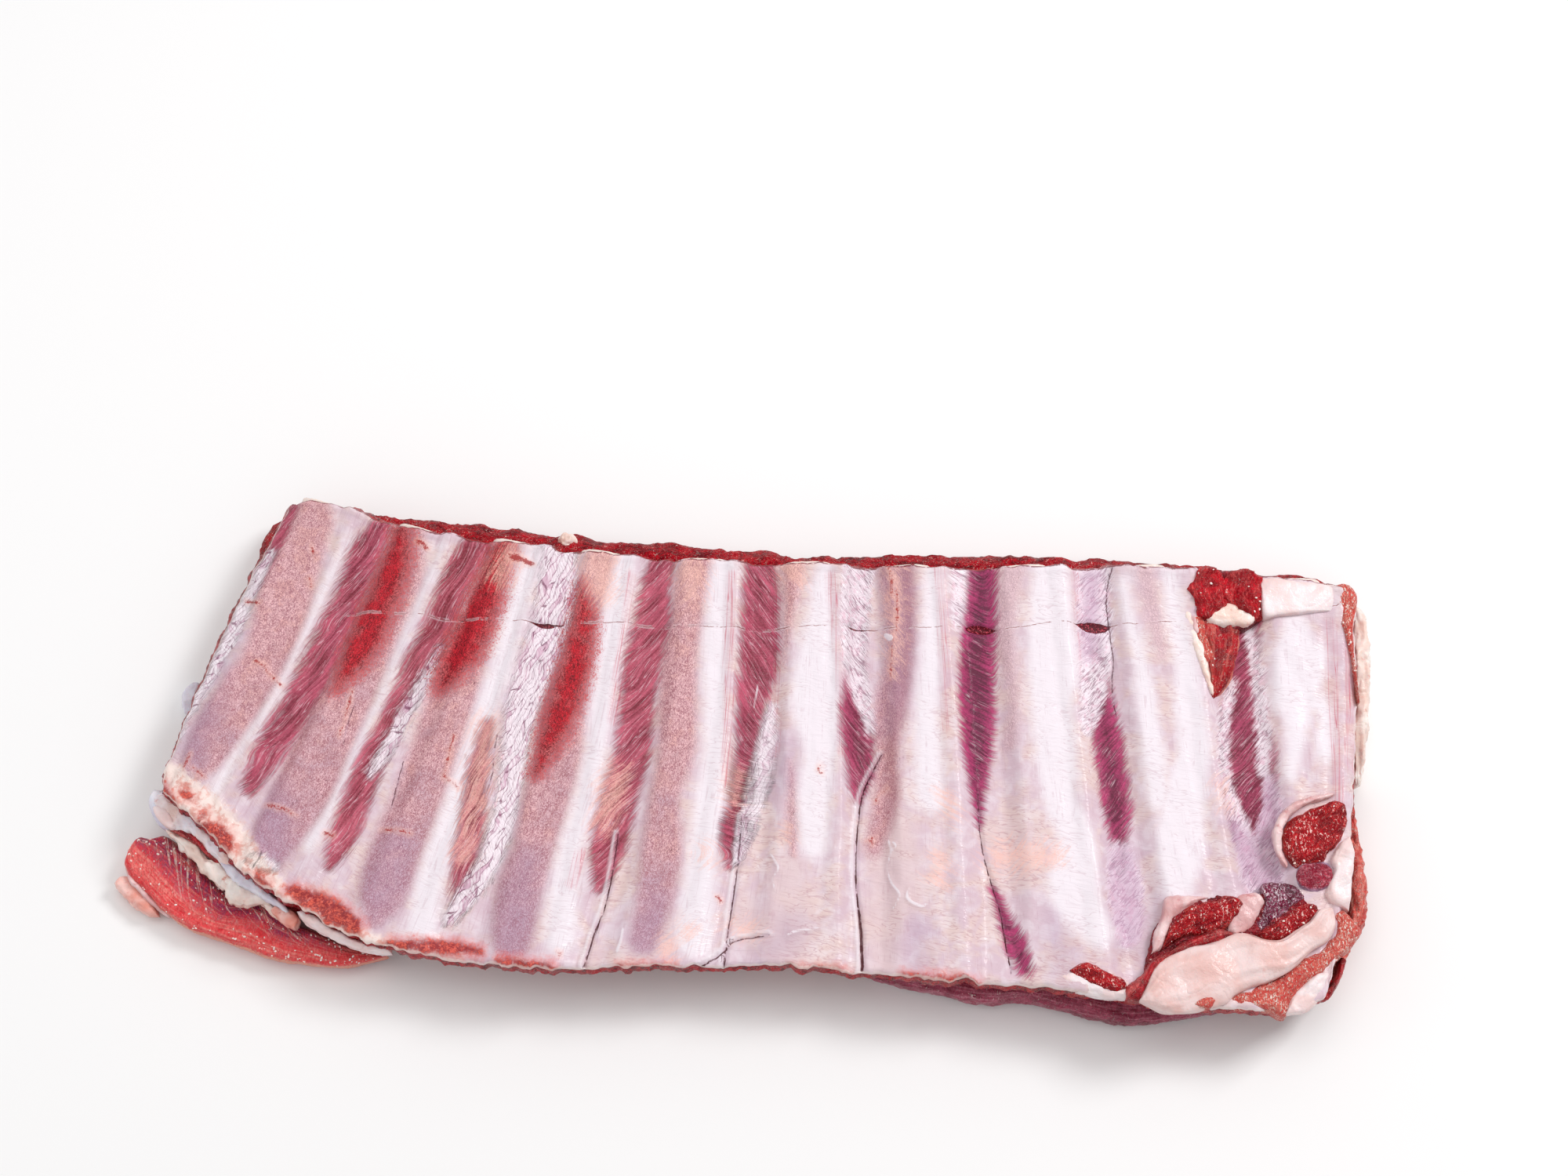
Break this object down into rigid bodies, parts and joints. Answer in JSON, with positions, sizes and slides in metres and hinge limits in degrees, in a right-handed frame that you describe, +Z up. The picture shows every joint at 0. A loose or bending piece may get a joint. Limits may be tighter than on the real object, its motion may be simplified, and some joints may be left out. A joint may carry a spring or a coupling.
{
  "type": "short rib rack",
  "caption": "Raw rack of short ribs lying bone side up: a fanned row of flat rib bones in a layer of meat on a slab of outer meat, with loose flaps of muscle, fat and cartilage at its edges.",
  "frame": {"origin": "under the middle of the bounding box, on the surface that the rack lies on", "axes": "+X along the rack, across the ribs; +Y along the ribs, from the cartilage edge to the sawn edge; +Z up, out of the bone side"},
  "size_m": [0.3512, 0.1484, 0.0268],
  "materials": {
    "bone": "raw bone under a wet, translucent lining",
    "rib_meat": "wet raw meat under a translucent, wrinkled lining",
    "outer_muscle": "raw dark red meat, moist",
    "red_muscle": "raw red meat with fine fibres, moist",
    "dark_muscle": "freshly cut dark red meat, wet",
    "purple_muscle": "raw muscle under a thin purple skin, wet",
    "orange_muscle": "raw muscle mixed with fat, grainy and moist",
    "marrow": "porous cut bone with red marrow, moist",
    "cartilage": "smooth bluish white cartilage, wet",
    "pale_fat": "soft white fat, greasy",
    "pink_fat": "soft pink fat, greasy"
  },
  "bodies": {
    "root": {"outer_meat": "outer_muscle", "rib_layer": "rib_meat", "rib_bone_01": "bone", "rib_bone_02": "bone", "rib_bone_03": "bone", "rib_bone_04": "bone", "rib_bone_05": "bone", "rib_bone_06": "bone", "rib_bone_07": "bone", "rib_bone_08": "bone", "rib_bone_09": "bone", "rib_bone_10": "bone", "flap_muscle": "red_muscle", "flap_fat": "pink_fat", "under_muscle": "purple_muscle", "cartilage_end": "cartilage", "cartilage_edge": "cartilage", "torn_fat": "pale_fat", "skirt_fat": "pale_fat", "skirt_muscle": "red_muscle", "skirt_muscle_right": "red_muscle", "skirt_edge": "orange_muscle", "corner_fat": "pale_fat", "near_fat": "pink_fat", "cut_flesh": "dark_muscle", "cut_rib_end": "marrow", "side_fat_near": "pale_fat", "side_meat": "red_muscle", "side_fat": "pale_fat", "corner_meat": "dark_muscle", "fat_block": "pale_fat", "lump_left": "dark_muscle", "lump_right": "dark_muscle", "lump_fat": "pink_fat", "wedge_flesh": "dark_muscle", "far_scrap": "pink_fat", "edge_tag": "cartilage"}
  },
  "joints": []
}
